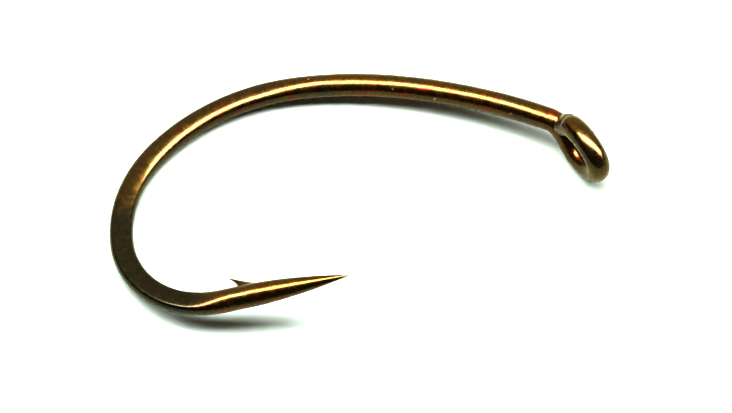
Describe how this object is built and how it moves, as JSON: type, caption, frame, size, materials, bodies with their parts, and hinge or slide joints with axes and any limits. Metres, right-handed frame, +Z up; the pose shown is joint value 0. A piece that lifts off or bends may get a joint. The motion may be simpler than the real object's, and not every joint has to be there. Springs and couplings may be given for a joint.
{
  "type": "fishing hook",
  "caption": "Forged curved-shank fishing hook with a down-turned ring eye, a cut barb and an offset needle point, lying on its side.",
  "frame": {"origin": "on the table, under the middle of the outline of the hook as it lies on its side", "axes": "+X along the shank towards the eye, +Y towards the back of the shank with the gape and the point towards -Y, +Z up from the table; the plane of the hook is tipped 3.3 degrees about Y, down towards the bend, and 2 degrees about X, up towards the spear, because it rests on its eye and on the back of its bend"},
  "size_m": [0.0178, 0.0106, 0.0025],
  "materials": {
    "lacquer": "glossy bronze lacquer over drawn steel wire",
    "lacquer_forged": "glossy bronze lacquer over hammered flats",
    "lacquer_cut": "glossy bronze lacquer over cut and sharpened steel"
  },
  "bodies": {
    "root": {"eye_ring": "lacquer", "eye_neck": "lacquer", "shank": "lacquer", "bend": "lacquer_forged", "spear": "lacquer", "barb": "lacquer_cut", "point": "lacquer_cut"}
  },
  "joints": []
}
